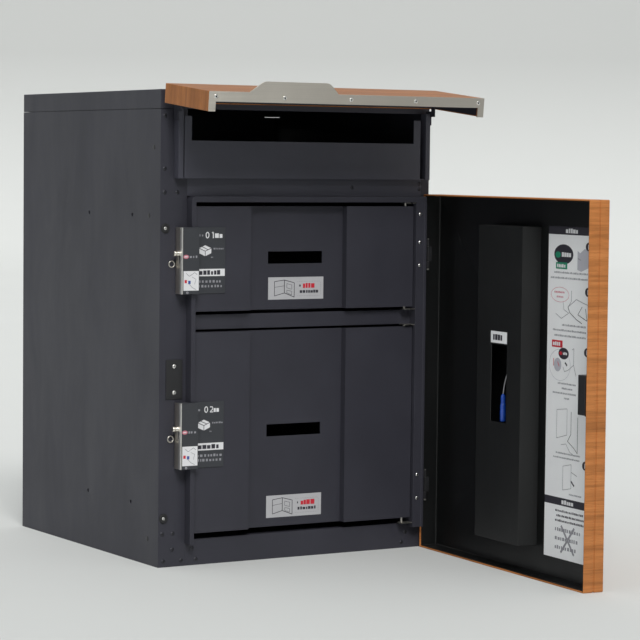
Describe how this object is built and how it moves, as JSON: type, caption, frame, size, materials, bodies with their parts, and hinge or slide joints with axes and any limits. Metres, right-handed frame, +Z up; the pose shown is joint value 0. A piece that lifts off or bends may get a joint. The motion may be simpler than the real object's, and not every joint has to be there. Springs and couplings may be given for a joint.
{
  "type": "mail and parcel box",
  "caption": "Front-loading mail and parcel cabinet with a lift-up lid over the mail slot and a hinged wood-finish door over locking parcel compartments.",
  "frame": {"origin": "centre of the four anchor holes in the cabinet's underside, on the surface it stands on", "axes": "+Z up, front faces -Y, +X to the right of someone who faces the front"},
  "size_m": [0.455, 0.8842, 0.6592],
  "materials": {
    "charcoal_paint": "satin powder coat",
    "inner_charcoal": "satin powder coat",
    "black_paint": "satin",
    "wood_film": "wood grain film, semi gloss",
    "steel_strip": "brushed",
    "zinc": "zinc plated",
    "lock_case": "fine texture",
    "knob": "polished",
    "rubber": "matt",
    "black_plastic": "matt",
    "blue_plastic": "gloss",
    "cord_grey": "braided"
  },
  "bodies": {
    "cabinet": {"side_panel_left": "charcoal_paint", "side_panel_right": "charcoal_paint", "roof_cap": "charcoal_paint", "bottom_board": "charcoal_paint", "front_rail": "charcoal_paint", "rear_sill": "charcoal_paint", "rear_header": "charcoal_paint", "mail_cheek_left": "charcoal_paint", "mail_cheek_right": "charcoal_paint", "mail_plate": "charcoal_paint", "mail_apron": "charcoal_paint", "parcel_frame": "charcoal_paint", "base_pan": "inner_charcoal", "floor_rails": "inner_charcoal", "parcel_floor": "inner_charcoal", "mail_sill_fold": "inner_charcoal", "mail_floor": "inner_charcoal", "liner_left": "inner_charcoal", "liner_right": "inner_charcoal", "parcel_ceiling": "inner_charcoal", "shelf": "inner_charcoal", "flange_screws": "black_paint", "jamb_screws": "black_paint", "strike_screws": "black_paint", "upper_hinge_jamb_leaf": "black_paint", "lower_hinge_jamb_leaf": "black_paint", "lid_ear_left": "black_paint", "lid_ear_right": "black_paint", "door_hinge_pins": "zinc", "inner_hinge_pins": "zinc", "inner_hinge_tabs": "zinc", "lid_pins": "zinc", "rear_hinge_pins": "zinc", "keeper_rings": "zinc", "door_bumpers": "rubber", "hole_plugs": "black_plastic", "strike_plate": "black_plastic"},
    "front_door": {"door_shell": "wood_film", "door_tray": "black_paint", "upper_hinge_door_leaf": "black_paint", "lower_hinge_door_leaf": "black_paint", "stamp_box": "black_paint", "stamp": "blue_plastic", "stamp_hook": "black_paint", "stamp_cord": "cord_grey", "catch_body": "black_plastic"},
    "mail_lid": {"lid_shell": "wood_film", "lid_liner": "inner_charcoal", "lid_strip": "steel_strip", "lid_strip_screws": "zinc", "lid_lugs": "black_paint"},
    "upper_compartment_door": {"upper_inner_door": "inner_charcoal", "upper_lock_case": "lock_case"},
    "lower_compartment_door": {"lower_inner_door": "inner_charcoal", "lower_lock_case": "lock_case"},
    "upper_knob": {"upper_lock_knob": "knob"},
    "lower_knob": {"lower_lock_knob": "knob"},
    "collection_door": {"rear_door": "charcoal_paint", "rear_lock_body": "knob"},
    "collection_lock": {"rear_lock_plug": "knob"}
  },
  "joints": [
    {"name": "front_door_hinge", "type": "hinge", "parent": "cabinet", "child": "front_door", "pos_m": [0.212, -0.23, 0.255], "axis": [0, 0, 1], "range_deg": [-86, 24]},
    {"name": "mail_lid_hinge", "type": "hinge", "parent": "cabinet", "child": "mail_lid", "pos_m": [0, -0.2409, 0.643], "axis": [-1, 0, 0], "range_deg": [-84, 6]},
    {"name": "upper_door_hinge", "type": "hinge", "parent": "cabinet", "child": "upper_compartment_door", "pos_m": [0.1748, -0.226, 0.421], "axis": [0, 0, 1], "range_deg": [0, 85]},
    {"name": "lower_door_hinge", "type": "hinge", "parent": "cabinet", "child": "lower_compartment_door", "pos_m": [0.1748, -0.226, 0.182], "axis": [0, 0, 1], "range_deg": [0, 85]},
    {"name": "upper_knob_slide", "type": "slide", "parent": "upper_compartment_door", "child": "upper_knob", "axis": [0, 0, -1], "range_m": [0, 0.01]},
    {"name": "lower_knob_slide", "type": "slide", "parent": "lower_compartment_door", "child": "lower_knob", "axis": [0, 0, -1], "range_m": [0, 0.01]},
    {"name": "collection_door_hinge", "type": "hinge", "parent": "cabinet", "child": "collection_door", "pos_m": [0.19, 0.2175, 0.32], "axis": [0, 0, -1], "range_deg": [0, 105]},
    {"name": "collection_lock_turn", "type": "hinge", "parent": "collection_door", "child": "collection_lock", "pos_m": [-0.177, 0.215, 0.32], "axis": [0, -1, 0], "range_deg": [0, 90]}
  ]
}
